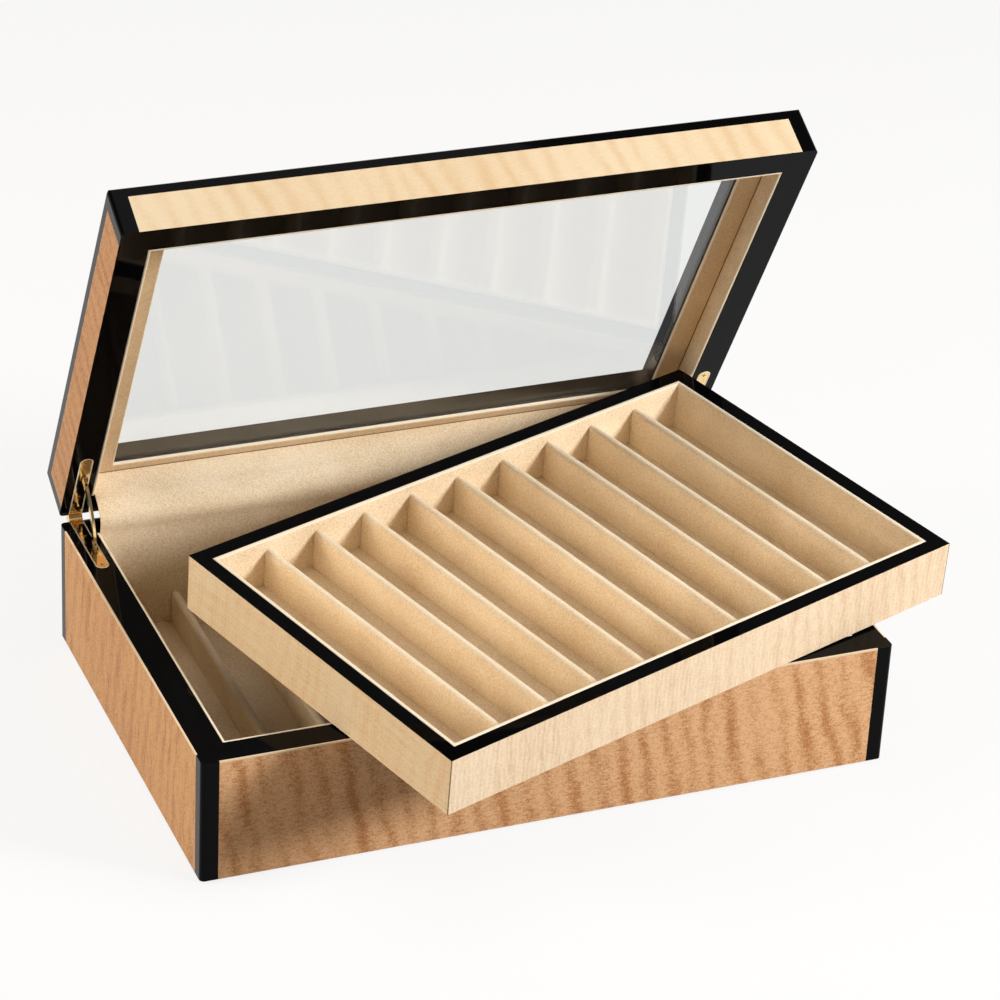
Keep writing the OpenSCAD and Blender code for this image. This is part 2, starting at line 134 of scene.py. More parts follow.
class Palette:
    """The nodes of one material, or of the world, made by plain calls."""

    def __init__(self, name: str, world: bpy.types.World | None = None) -> None:
        """Starts an empty material.

        Args:
            name: its name.
            world: a world, which is emptied and used in the material's place.
        """
        self.owner = world or bpy.data.materials.new(name)
        self.owner.use_nodes = True
        self.tree = self.owner.node_tree
        self.tree.nodes.clear()

    def add(self, kind: str, settings: dict | None = None, out: str | int = 0, **inputs: object) -> Shade:
        """Adds one node.

        Args:
            kind: the node's type, without the word ShaderNode.
            settings: the node's own settings, which are set first.
            out: the output that is wanted.
            inputs: values or links of its sockets, by name or identifier. An underscore stands for a space.
        Returns:
            That output.
        """
        made = self.tree.nodes.new("ShaderNode" + kind)
        for key, value in (settings or {}).items():
            setattr(made, key, value)
        for key, value in inputs.items():
            socket = next(one for one in made.inputs if key in (one.identifier, one.name.replace(" ", "_")))
            if isinstance(value, Shade):
                self.tree.links.new(value.socket, socket)
            else:
                colour = socket.type == "RGBA"
                socket.default_value = (*value, 1.0) if colour else value
        return Shade(self, made.outputs[out] if made.outputs else None)

    def place(self, pose: "Pose | None" = None) -> Shade:
        """Coordinates of the shaded point.

        Args:
            pose: the frame that they are in. Without it, that is the object's own.
        Returns:
            The coordinates, as a vector.
        """
        found = self.add("TexCoord", out="Object")
        return found if pose is None else self.add(
            "Mapping", {"vector_type": "TEXTURE"}, Vector=found, Location=pose.origin, Rotation=pose.turn)

    def rays(self, *kinds: str) -> Shade:
        """1 for rays of any of these kinds, otherwise 0."""
        return reduce(Shade.most, [self.add("LightPath", out=f"Is {kind} Ray") for kind in kinds])

    def split(self, vector: Shade) -> tuple[Shade, Shade, Shade]:
        """The three parts of a vector."""
        made = self.add("SeparateXYZ", Vector=vector).socket.node
        return tuple(Shade(self, one) for one in made.outputs)

    def join(self, x: Number, y: Number, z: Number) -> Shade:
        """A vector from three parts."""
        return self.add("CombineXYZ", X=x, Y=y, Z=z)

    def noise(self, vector: Shade, scale: float, detail: float = 2.0, rough: float = 0.5) -> Shade:
        """Smooth noise from 0 to 1, with features of about 1 / scale metres."""
        return self.add("TexNoise", out="Fac", Vector=vector, Scale=scale, Detail=detail, Roughness=rough)

    def mix(self, share: Number, first: object, second: object) -> Shade:
        """A colour between two colours or links: share 0 gives the first, 1 gives the second."""
        colours = {"data_type": "RGBA"}
        return self.add("Mix", colours, out=2, Factor_Float=share, A_Color=first, B_Color=second)

    def bump(self, height: Shade, depth: float, strength: float = 1.0) -> Shade:
        """A normal from a height of 0 to 1 that stands for a relief of that depth in metres."""
        return self.add("Bump", Height=height, Distance=depth, Strength=strength)

    def surface(self, **sockets: object) -> Material:
        """Ends the material with one Principled shader, whose sockets get these values or links."""
        self.add("OutputMaterial", Surface=self.add("BsdfPrincipled", **sockets))
        return self.owner


# ---- sizes and poses ----


@dataclass(frozen=True)
class CaseSizes:
    """The sizes that the soft pieces share with the solids, in metres."""

    width: float = 356 * MM
    depth: float = 236 * MM
    base_height: float = 66.5 * MM
    wall: float = 15 * MM
    rim_gap: float = 0.4 * MM
    lining: float = 1.6 * MM
    floor_top: float = 7 * MM
    pad: float = 2 * MM
    seam: float = 12 * MM
    glass_border: Pair = (29 * MM, 22 * MM)
    glass_frame: float = 2 * MM
    axis_back: float = 3 * MM
    slots: int = 10
    divider: float = 4.6 * MM
    divider_height: float = 17.5 * MM
    ledge: float = 9.4 * MM
    open_angle: float = math.radians(62)
    tray_height: float = 30.5 * MM
    tray_inset: float = 1 * MM
    tray_play: float = 0.85 * MM
    tray_rim: float = 8 * MM
    tray_lining: float = 2.5 * MM
    tray_panel: float = 3.6 * MM
    tray_pad: float = 1.6 * MM
    tray_drop: float = 5.1 * MM
    tray_yaw: float = math.radians(18.5)
    tray_tilt: float = math.radians(3.89904)
    tray_at: Triple = (37.8516 * MM, 78.8893 * MM, 0.3 * MM)

    @property
    def outside(self) -> Array:
        """Width and depth of base and lid."""
        return np.array([self.width, self.depth])

    @property
    def open(self) -> Array:
        """Width and depth between the walls."""
        return self.outside - 2 * self.wall

    @property
    def inner(self) -> Array:
        """Width and depth between the linings."""
        return self.open - 2 * self.lining

    @property
    def axis(self) -> Array:
        """A point on the hinge axis."""
        return np.array([0, self.depth / 2 + self.axis_back, self.base_height + self.rim_gap / 2])

    @property
    def tray_open(self) -> Array:
        """Width and depth inside the tray's rim."""
        return self.inner - 2 * (self.tray_play + self.tray_rim)


SIZE = CaseSizes()

# The angles of the points of a fine round section, and the angle above which an edge stays sharp.
ROUND = np.arange(8) * (math.pi / 4)
SHARP_ANGLE = math.radians(40)


class Side(Enum):
    """The sides that veneer covers."""

    FRONT = "front"
    REAR = "rear"
    LEFT = "left"
    RIGHT = "right"


class Body(Enum):
    """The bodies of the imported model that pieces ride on."""

    BASE = "base"
    LID = "lid"
    TRAY = "tray"


@dataclass(frozen=True)
class Pose:
    """Where a body's own frame lies: a turn by Euler angles, then a shift of its origin."""

    origin: Triple = (0.0, 0.0, 0.0)
    turn: Triple = (0.0, 0.0, 0.0)


def euler_matrix(turn: Triple) -> Array:
    """The turn that is first about X, then about Y, then about Z.

    Args:
        turn: the three Euler angles.
    Returns:
        Its 3 x 3 matrix.
    """
    cx, cy, cz = np.cos(turn)
    sx, sy, sz = np.sin(turn)
    about_x = np.array([[1, 0, 0], [0, cx, -sx], [0, sx, cx]])
    about_y = np.array([[cy, 0, sy], [0, 1, 0], [-sy, 0, cy]])
    about_z = np.array([[cz, -sz, 0], [sz, cz, 0], [0, 0, 1]])
    return about_z @ about_y @ about_x


def lid_pose() -> Pose:
    """The open lid, in a frame whose origin is on the hinge axis."""
    return Pose(tuple(SIZE.axis), (-SIZE.open_angle, 0.0, 0.0))


def tray_pose() -> Pose:
    """The tray on the open case: turned in its plane, then that plane is tilted about the front rim.

    Returns:
        The pose of the tray's own frame.
    """
    tilt = euler_matrix((SIZE.tray_tilt, 0, 0))
    turn = tilt @ euler_matrix((0, 0, SIZE.tray_yaw))
    shift = tilt @ SIZE.tray_at
    rim = (0, -SIZE.depth / 2, SIZE.base_height)
    return Pose(tuple(shift + rim), tuple(Matrix(turn.tolist()).to_euler("XYZ")))


# ---- surfaces ----


@dataclass
class Surface:
    """Points and faces of one closed surface, and each point's pale edge: rubbed nap with a painted
    highlight.
    """

    points: Array
    faces: list[list[int]]
    wear_and_highlight: Array | None = None

    def placed(self, pose: Pose) -> "Surface":
        """The surface, taken from a body's own frame to the model's."""
        return Surface(self.points @ euler_matrix(pose.turn).T + pose.origin, self.faces, self.wear_and_highlight)


def grid_faces(rows: int, columns: int, wrap_rows: bool = False, wrap_columns: bool = False) -> Array:
    """Four-sided faces of a grid of points.

    Args:
        rows: points along the first parameter.
        columns: points along the second parameter.
        wrap_rows: the last row joins the first.
        wrap_columns: the last column joins the first.
    Returns:
        One row of four indices for each face.
    """
    i, j = np.meshgrid(np.arange(rows if wrap_rows else rows - 1),
                       np.arange(columns if wrap_columns else columns - 1), indexing="ij")
    i, j = i.ravel(), j.ravel()
    k, m = (i + 1) % rows, (j + 1) % columns
    return np.stack([i * columns + j, k * columns + j, k * columns + m, i * columns + m], axis=1)


def raised(plan: Array, height: Array) -> Array:
    """A grid of plan points at their heights, as a list."""
    return np.dstack([plan, np.broadcast_to(height, plan.shape[:2])]).reshape(-1, 3)


def tube_faces(rows: int, columns: int, closed: bool = False) -> list[list[int]]:
    """Faces of a tube: a grid whose rows are rings, with a cap on each end.

    Args:
        rows: rings along the tube.
        columns: points of a ring.
        closed: the last ring joins the first, without caps.
    Returns:
        The indices of each face.
    """
    last = (rows - 1) * columns
    caps = [list(range(columns)), list(range(last, last + columns))[::-1]]
    return grid_faces(rows, columns, closed, True).tolist() + ([] if closed else caps)


def shell_faces(rows: int, columns: int) -> list[list[int]]:
    """Faces of a closed shell: a grid, a second grid over it, and a strip that joins their edges.

    Args:
        rows: points along each grid's first parameter.
        columns: points along its second parameter.
    Returns:
        The indices of each face.
    """
    sheet = grid_faces(rows, columns)
    size = rows * columns
    index = np.arange(size).reshape(rows, columns)
    ring = np.concatenate([index[:, 0], index[-1, 1:], index[-2::-1, -1], index[0, -2:0:-1]])
    after = np.roll(ring, -1)
    side = np.stack([ring, after, after + size, ring + size], axis=1)
    return sheet[:, ::-1].tolist() + (sheet + size).tolist() + side.tolist()


def ripple(points: Array, size: float, seed: float = 0.0) -> Array:
    """Smooth unevenness: the mean of five sine waves, each shorter than the last and in another direction.

    Args:
        points: where it is wanted.
        size: length of the longest wave.
        seed: turns the directions and shifts the waves.
    Returns:
        A value from -1 to 1 for each point.
    """
    count, turn, shorter, shift = np.arange(5), 2.4, 0.23, 3.1
    turns = count * turn + seed
    ways = np.stack([np.cos(turns), np.sin(turns), np.cos(2 * turns + 1)], axis=1)
    waves = points @ ways.T * (math.tau / size) * (1 + shorter * count) + turns * shift
    return np.sin(waves).mean(axis=1)


def outline_turns(corners: Array, closed: bool) -> Array:
    """How each corner of a path in plan moves for one unit of inward offset.

    At a corner, that is the sum of both sides' left-hand normals over one plus their dot product, so that
    both sides keep their distance. At an open end it is the one side's normal.

    Args:
        corners: the path's corners.
        closed: the path returns to its start.
    Returns:
        One plane vector for each corner.
    """
    ahead = np.roll(corners, -1, axis=0) - corners
    ahead /= np.linalg.norm(ahead, axis=1)[:, None] + 1e-12
    left = np.stack([-ahead[:, 1], ahead[:, 0]], axis=1)
    before = np.roll(left, 1, axis=0)
    if not closed:
        left[-1] = before[-1]
        before[0] = left[0]
    return (left + before) / (1 + (left * before).sum(axis=1))[:, None]


def moulding(corners: list[Pair], section: Array, closed: bool, soft: float = 0.0,
             seed: float = 0.0) -> Surface:
    """A section carried along a path in plan, with mitred corners.

    A point of the section at (inward, height) lies at path + inward * offset way, at that height. soft
    times a ripple moves the points of the inner half inwards.

    Args:
        corners: the path's corners, with the inside on its left.
        section: (inward, height, pale edge) points of a closed outline, in order. The pale edge is rubbed nap
            and painted highlight.
        closed: the path returns to its start.
        soft: size of the ripple.
        seed: start of the ripple.
    Returns:
        A closed surface.
    """
    pitch, wave = 6 * MM, 45 * MM
    corner = np.array(corners, float)
    ways = outline_turns(corner, closed)
    path, way = [], []
    for a in range(len(corner) - (not closed)):
        reach = corner[(a + 1) % len(corner)] - corner[a]
        length = np.linalg.norm(reach)
        cuts = max(2, int(length / pitch))
        path.append(corner[a] + reach * np.linspace(0, 1, cuts + 1)[:-1, None])
        way += [ways[a : a + 1], np.tile([-reach[1] / length, reach[0] / length], (cuts - 1, 1))]
    if not closed:
        path.append(corner[-1:])
        way.append(ways[-1:])
    path, way = np.concatenate(path), np.concatenate(way)
    plan = path[:, None] + way[:, None] * section[None, :, :1]
    rows, columns = plan.shape[:2]
    flat = raised(plan, section[:, 1])
    if soft:
        inward = np.repeat(way, columns, axis=0)
        lift = (section[:, 0] > section[:, 0].max() * 0.5).astype(float)
        flat[:, :2] += inward * (ripple(flat, wave, seed) * soft * np.tile(lift, rows))[:, None]
    return Surface(flat, tube_faces(rows, columns, closed), np.tile(section[:, 2], rows))


def wrapped_section(low: float, high: float, thick: float, radius: float, belly: float = 0.0,
                    both: bool = True) -> Array:
    """Section of a board wrapped in suede that stands on a wall. Its upper edges are quarter circles.

    Args:
        low: height of its foot.
        high: height of its top.
        thick: its thickness.
        radius: radius of the upper edges.
        belly: how far the inner face swells, by half a sine wave.
        both: the edge at the wall is rounded too.
    Returns:
        (inward, height, pale edge) points of a closed outline. Its upper edge is made pale: rubbed nap with a
        painted highlight.
    """
    # How fast the upper edge turns pale: rubbed nap and a painted highlight.
    wear_and_highlight_share = 1.6
    turn = np.linspace(0, math.pi / 2, 7)
    inner = np.stack([thick - radius + radius * np.cos(turn), high - radius + radius * np.sin(turn)], 1)
    outer = (np.stack([radius - radius * np.sin(turn), high - radius + radius * np.cos(turn)], 1)
             if both else np.array([[0.0, high]]))
    rise = np.linspace(0, 1, 9)[:-1]
    face = np.column_stack([thick + belly * np.sin(math.pi * rise), low + rise * (high - radius - low)])
    line = np.concatenate([face, inner, outer, [[0.0, low]]])
    return np.column_stack([line, np.clip((line[:, 1] - high + radius) / radius * wear_and_highlight_share, 0, 1)])


def add_object(name: str, data: bpy.types.ID) -> bpy.types.Object:
    """Adds an object to the scene.

    Args:
        name: its name.
        data: its mesh, lamp or camera.
    Returns:
        The object.
    """
    made = bpy.data.objects.new(name, data)
    bpy.context.collection.objects.link(made)
    return made


def make_piece(name: str, surface: Surface, finish: Material) -> bpy.types.Object:
    """Turns a surface into an object with one finish.

    Args:
        name: the object's name.
        surface: its points and faces, in the model's frame.
        finish: its material.
    Returns:
        The object, at the origin, with outward faces.
    """
    mesh = bpy.data.meshes.new(name)
    mesh.from_pydata(surface.points.tolist(), [], surface.faces)
    # How pale each point's nap is made, rubbed nap with a painted highlight, goes to the mesh as an
    # attribute.
    if surface.wear_and_highlight is not None:
        wear_and_highlight = mesh.attributes.new("wear_and_highlight", "FLOAT", "POINT")
        wear_and_highlight.data.foreach_set("value", surface.wear_and_highlight.astype(np.float32))
    mesh.validate()
    mesh.materials.append(finish)
    solid = bmesh.new()
    solid.from_mesh(mesh)
    if solid.calc_volume(signed=True) < 0:
        mesh.flip_normals()
    solid.free()
    mesh.shade_smooth()
    mesh.set_sharp_from_angle(angle=SHARP_ANGLE)
    made = add_object(name, mesh)
    log.info("%s: %d faces", name, len(mesh.polygons))
    return made


# ---- finishes ----


@dataclass(frozen=True)
class Lacquer:
    """High-gloss black lacquer, with the faint waviness of a polished coat."""

    tint: Triple = (0.0022, 0.002, 0.0023)
    shine: float = 0.035

    def build(self) -> Material:
        """Makes the material.

        Returns:
            The material.
        """
        p = Palette("black_lacquer")
        at = p.place()
        wave = p.noise(at, 55)
        dust = p.noise(at, 1900).step(0.70, 0.82)
        haze = p.noise(at, 21, 3).step(0.35, 0.8)
        return p.surface(
            Base_Color=p.mix(dust * 0.35, self.tint, (0.03, 0.03, 0.032)),
            Roughness=haze * 0.03 + dust * 0.10 + self.shine,
            Normal=p.bump(wave, 0.06 * MM, 0.6),
            Specular_IOR_Level=0.06)


@dataclass(frozen=True)
class Maple:
    """Curly maple veneer under clear lacquer.

    The grain runs along one axis. The curl is a wave along the grain whose phase is shifted by noise:
    sin(2 pi (u / curl + shift)). Its strength comes and goes, and sand, flecks and clouds of colour lie over
    it. pores says how many times finer the flecks are along the grain, and up the side. Between the heights
    of lacquered, the colour named edge hides the wood: the rim's lacquer, or a pale band that is a painted
    highlight along the veneer's top edge. At a distance of seam from the middle, a dark line shows the
    mitre. Lengths are in metres.
    """

    pale: Triple
    deep: Triple
    curl: float
    figure: float
    grain: float
    lean: float
    along_x: bool = True
    fine: float = 0.0
    pores: Pair = (0.8, 2.2)
    pose: Pose | None = None
    lacquered: Pair = (-1.0, -1.0)
    edge: Triple = Lacquer.tint
    seam: float = 0.0
    name: str = ""
    seed: float = 0.0

    def build(self) -> Material:
        """Makes the material.

        Returns:
            The material.
        """
        p = Palette(self.name)
        x, y, z = p.split(p.place(self.pose))
        u, w = (x, y) if self.along_x else (y, x)
        u = u + self.seed
        sheet = p.join(u, z * 0.4, w * 0.2)
        drift = p.noise(sheet, 20)
        swirl = p.noise(p.join(u, z * 0.8, w * 0.2), 60)
        shift = (drift - 0.5) * 1.9 + (swirl - 0.5) * 0.55 + z * (self.lean / self.curl)
        wave = ((u / self.curl + shift) * math.tau).sine() * 0.5 + 0.5
        strength = p.noise(sheet, 45).step(0.30, 0.70) * 0.8 + 0.2
        band = (wave ** 1.5) * strength
        along, up = self.pores
        sand = p.noise(p.join(u, z * 1.2, w), 1200, 4, 0.8)
        fleck = p.noise(p.join(u * along, z * up, w), 330, 3, 0.6)
        cloud = p.noise(sheet, 13, 3)
        streak = sand.step(0.30, 0.70) * 1.4 + fleck.step(0.30, 0.70) * 0.6 - 1.0
        depth = band * self.figure + streak * self.grain + (cloud - 0.5) * 0.8 + 0.16
        if self.fine:
            pitch, stray = 2.8 * MM, 4 * MM
            comb = ((u + (swirl - 0.5) * stray) * (math.tau / pitch)).sine() * 0.5 + 0.5
            depth = depth + comb * p.noise(sheet, 24).step(0.35, 0.65) * self.fine
        wood = p.mix(depth.held(), self.pale, self.deep)
        if self.seam:
            mitre = (u - self.seed).size().step(self.seam - 0.6 * MM, self.seam - 0.3 * MM)
            wood = p.mix(mitre * 0.75, wood, (0.10, 0.045, 0.02))
        # The rim's lacquer, or a pale band that paints a highlight along the top edge.
        low, high = self.lacquered
        if high > low:
            half = (high - low) / 2
            coat = 1.0 - (z - (low + half)).size().step(half - 0.03 * MM, half)
            wood = p.mix(coat, wood, self.edge)
        return p.surface(
            Base_Color=wood,
            Roughness=streak * 0.10 + 0.34,
            Normal=p.bump(sand, 0.04 * MM, 0.3),
            Coat_Weight=0.06, Coat_Roughness=0.08, Specular_IOR_Level=0.03)


@dataclass(frozen=True)
class Suede:
    """Short-napped suede: a sandy mottle, brushed patches and a soft sheen at glancing angles.

    Where a piece's point attribute rises to 1, as along its folded edges, the nap is made pale: partly rubbed
    nap, partly a painted highlight where the edges catch the light.
    """

    name: str = "suede"
    pale: Triple = (0.98, 0.84, 0.64)
    deep: Triple = (0.62, 0.43, 0.225)
    # The pale colour of the folded edges: rubbed nap and a painted highlight.
    wear_and_highlight_tint: Triple = (0.98, 0.89, 0.73)
    nap: float = 0.25 * MM

    def build(self) -> Material:
        """Makes the material.

        Returns:
            The material.
        """
        p = Palette(self.name)
        at = p.place()
        sand = p.noise(at, 1150, 5, 0.8)
        fibre = p.noise(at, 3400, 2, 0.6)
        brushed = p.noise(at, 38, 3, 0.55)
        patch = p.noise(at, 9)
        mottle = (sand - 0.5) * 3.0 + (fibre - 0.5) * 0.9
        shade = mottle + (brushed - 0.5) * 0.7 + (patch - 0.5) * 0.5 + 0.32
        # Painted highlight and rubbed nap along the folded edges, read from the mesh.
        wear_and_highlight = p.add("Attribute", {"attribute_name": "wear_and_highlight"}, out="Fac")
        nap = p.mix(shade.held(), self.pale, self.deep)
        return p.surface(
            Base_Color=p.mix((wear_and_highlight * 0.85).held(), nap, self.wear_and_highlight_tint),
            Roughness=0.82 + (brushed - 0.5) * 0.2,
            Normal=p.bump(sand * 0.7 + fibre * 0.3, self.nap, 0.75),
            Sheen_Weight=0.25, Sheen_Roughness=0.45, Sheen_Tint=(1.0, 0.88, 0.70), Specular_IOR_Level=0.2)


@dataclass(frozen=True)
class Gold:
    """Polished gilt brass, with fine rub marks."""

    name: str = "gilt_brass"
    tint: Triple = (0.97, 0.70, 0.34)
    rough: float = 0.05

    def build(self) -> Material:
        """Makes the material.

        Returns:
            The material.
        """
        p = Palette(self.name)
        at = p.place()
        rub = p.noise(p.join(*[part * k for part, k in zip(p.split(at), (2600, 240, 2600))]), 1)
        roll = p.noise(at, 210)
        tarnish = p.noise(at, 160, 3).step(0.45, 0.8)
        return p.surface(
            Base_Color=p.mix(tarnish * 0.4, self.tint, (0.55, 0.26, 0.08)),
            Roughness=rub * 0.06 + tarnish * 0.06 + self.rough,
            Normal=p.bump(roll * 0.97 + rub * 0.03, 0.6 * MM, 0.2),
            Metallic=1.0)


@dataclass(frozen=True)
class Felt:
    """Dark pressed felt."""

    tint: Triple = (0.045, 0.036, 0.032)

    def build(self) -> Material:
        """Makes the material.

        Returns:
            The material.
        """
        p = Palette("dark_felt")
        at = p.place()
        fuzz = p.noise(at, 1600, 4, 0.7)
        clump = p.noise(at, 260)
        return p.surface(
            Base_Color=p.mix((fuzz * 0.7 + clump * 0.3).held(), self.tint, (0.11, 0.09, 0.08)),
            Normal=p.bump(fuzz, 0.3 * MM, 0.8),
            Roughness=0.95, Sheen_Weight=0.3, Sheen_Roughness=0.5, Specular_IOR_Level=0.15)


@dataclass(frozen=True)
class SeamShadowThread:
    """A dark thread along the lid's seam that paints the seam's shadow line. Its twist is a sine of the
    distance along it.
    """

    tint: Triple = (0.16, 0.085, 0.04)
    pitch: float = 1.2 * MM

    def build(self) -> Material:
        """Makes the material.

        Returns:
            The material.
        """
        p = Palette("dark_thread")
        x, y, z = p.split(p.place())
        twist = ((x + y + z * 2.0) * (math.tau / self.pitch)).sine() * 0.5 + 0.5
        fluff = p.noise(p.place(), 2200)
        return p.surface(
            Base_Color=p.mix(twist * 0.5 + fluff * 0.3, self.tint, (0.34, 0.21, 0.11)),
            Normal=p.bump(twist, 0.1 * MM, 0.6),
            Roughness=0.7, Specular_IOR_Level=0.2)


@dataclass(frozen=True)
class WindowGlass:
    """Clear plate glass with a faint grey cast and a trace of dust."""

    tint: Triple = (0.865, 0.885, 0.88)

    def build(self) -> Material:
        """Makes the material.

        Returns:
            The material.
        """
        p = Palette("window_glass")
        dust = p.noise(p.place(), 14, 4, 0.6).step(0.5, 0.9)
        return p.surface(Base_Color=self.tint, Roughness=dust * 0.012, Transmission_Weight=1.0, IOR=1.46)


# ---- the case ----


class Finishes:
    """The finishes that several pieces share, each made once."""

    def __init__(self) -> None:
        """Makes them."""
        self.lacquer = Lacquer().build()
        self.suede = Suede().build()
        # A darker copy of the suede for the glass frame: painted shade.
        self.deep_suede = Suede("suede_of_glass_frame", (0.82, 0.63, 0.41), (0.50, 0.31, 0.15)).build()
        self.gold = Gold().build()
        # A paler gold for the leaves' edges: painted highlight.
        self.bright = Gold("bright_gilt_edge", (1.0, 0.92, 0.76), 0.34).build()
        self.felt = Felt().build()
        self.glass = WindowGlass().build()
        # The dark thread paints the shadow line along the lid's seam.
        self.shadow_thread = SeamShadowThread().build()


def dress(finish: Material, *nodes: str) -> None:
    """Gives solids a finish in place of their plain one.

    Args:
        finish: the finish.
        nodes: the solids' names.
    """
    for name in nodes:
        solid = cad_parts[name]
        solid.data.materials.clear()
        solid.data.materials.append(finish)
        log.info("dressed %s", name)


@dataclass
class SubAssembly:
    """What the base, the lid and the tray share: veneered sides, suede pieces and slots."""

    finishes: Finishes
    body: Body = Body.BASE
    pose: Pose = Pose()
    log_step: float = 0.31
    fold: float = 0.7 * MM
    swell: float = 0.15 * MM
    uneven: float = 0.12 * MM

    def veneer(self, main: Maple, other: Maple, *sides: Side) -> None:
        """Veneers all four sides, each from another stretch of the same log.

        The cut moves along the log by log_step for each letter of the side's name.

        Args:
            main: the wood of the sides that are named.
            other: the wood of the rest.
            sides: the named sides.
        """
        part = self.body.value
        for side in Side:
            cut = replace(main if side in sides else other, name=f"maple_{part}_{side.value}",
                          along_x=side in (Side.FRONT, Side.REAR), seed=self.log_step * len(side.value))
            dress(cut.build(), f"{part}_veneer_{side.value}")

    def put(self, name: str, surface: Surface, *nodes: str) -> bpy.types.Object:
        """Makes one suede piece that stands for solids and rides on this body.

        Args:
            name: the piece's name.
            surface: its surface, in the body's own frame.
            nodes: the solids that it replaces.
        Returns:
            The piece.
        """
        made = make_piece(name, surface.placed(self.pose), self.finishes.suede)
        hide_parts(*nodes)
        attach(made, self.body.value)
        return made

    def slots(self, plan: Array, low: float, thick: float, inset: float, top: float, phase: float) -> None:
        """The padded floor and the dividers.

        Args:
            plan: the floor's width and depth.
            low: height of its underside.
            thick: its thickness.
            inset: how far the outer slots start from its left and right edges.
            top: height of the dividers' tops.
            phase: how far the ripple's start moves from one divider to the next.
        """
        part, first = self.body.value, inset - plan[0] / 2
        floor = slotted_pad(plan, low, thick, first)
        self.put(f"{part}_padded_floor", floor, f"{part}_pad")
        for i in range(1, SIZE.slots):
            x = first - 2 * first / SIZE.slots * i
            board = divider_board(plan[1] - 0.4 * MM, low + thick - 0.4 * MM, top, x, phase * i)
            self.put(f"{part}_suede_divider_{i}", board, f"{part}_divider_{i}")


def divider_board(length: float, low: float, high: float, x: float, seed: float) -> Surface:
    """A divider: a thin board along Y, wrapped in suede, with a round top and softened ends.

    The section at y is an upright strip with a half circle on top. Its half thickness is
    r - 0.3 mm * (1 - e)^2, where e rises from 0 at an end to 1 after 2 mm, and its top sinks by
    0.35 mm * (1 - e)^2. The whole board sways by a ripple of 0.1 mm above its foot.

    Args:
        length: length along Y.
        low: height of its foot.
        high: height of its top.
        x: place of its middle.
        seed: start of its ripple.
    Returns:
        A closed surface.
    """
    r, end, thin, sink, sway, wave = SIZE.divider / 2, length / 2, 0.3 * MM, 0.35 * MM, 0.1 * MM, 38 * MM
    near = np.array([0, 0.25, 0.6, 1.1, 2.0]) * MM
    middle = np.linspace(-end + 5 * MM, end - 5 * MM, 30)
    y = np.concatenate([-end + near, middle, end - near[::-1]])
    blunt = (1 - np.clip((end - np.abs(y)) / near[-1], 0, 1)) ** 2
    turn = np.linspace(0, math.pi, 13)
    upright = np.linspace(0, 1, 7)[:-1] * (high - r - low)
    flank = np.ones(len(upright))
    side = np.concatenate([flank, np.cos(turn), -flank])
    lift = np.concatenate([upright, high - r - low + r * np.sin(turn), upright[::-1]])
    rows, columns = len(y), len(side)
    points = np.zeros((rows, columns, 3))
    points[..., 0] = side * (r - thin * blunt)[:, None]
    points[..., 1] = y[:, None]
    points[..., 2] = low + lift - (sink * blunt)[:, None] * (lift > r)
    flat = points.reshape(-1, 3)
    flat[:, 0] += x + ripple(flat, wave, seed) * sway * (np.tile(lift, rows) > 2 * MM)
    # The divider's top is made pale: rubbed nap and a painted highlight.
    top_wear_and_highlight = np.concatenate([flank * 0, np.sin(turn) ** 3 * 0.45, flank * 0])
    return Surface(flat, tube_faces(rows, columns), np.tile(top_wear_and_highlight, rows))


def slotted_pad(plan: Array, low: float, thick: float, first: float) -> Surface:
    """The padded floor under the slots: a slab with a flat underside.

    Its height is thick - 0.5 mm * q^4 at a distance q from a slot's middle, where q is 1 at a divider,
    so that it swells between the dividers. It sinks by 0.4 mm in the last 3 mm at the slots' ends, and
    has a ripple of 0.06 mm.

    Args:
        plan: width and depth.
        low: height of its underside.
        thick: thickness at a slot's middle.
        first: X where the first slot starts. The last one ends at -first.
    Returns:
        A closed surface.
    """
    swell, sink, reach, uneven, wave = 0.5 * MM, 0.4 * MM, 3 * MM, 0.06 * MM, 60 * MM
    half = plan / 2
    across = np.linspace(-half[0], half[0], SIZE.slots * 12 + 1)
    along = np.linspace(-half[1], half[1], 61)
    x, y = (axis.ravel() for axis in np.meshgrid(across, along, indexing="ij"))
    under = np.stack([x, y, np.full(x.size, low)], axis=1)
    share = np.clip((x - first) / (-2 * first / SIZE.slots), 0, SIZE.slots)
    q = np.abs(share % 1 * 2 - 1)
    edge = np.clip((half[1] - np.abs(y)) / reach, 0, 1)
    fall = swell * q ** 4 + sink * (1 - edge) ** 2
    over = under.copy()
    over[:, 2] = low + thick - fall + ripple(under, wave, 2.0) * uneven - uneven
    return Surface(np.concatenate([under, over]), shell_faces(len(across), len(along)))


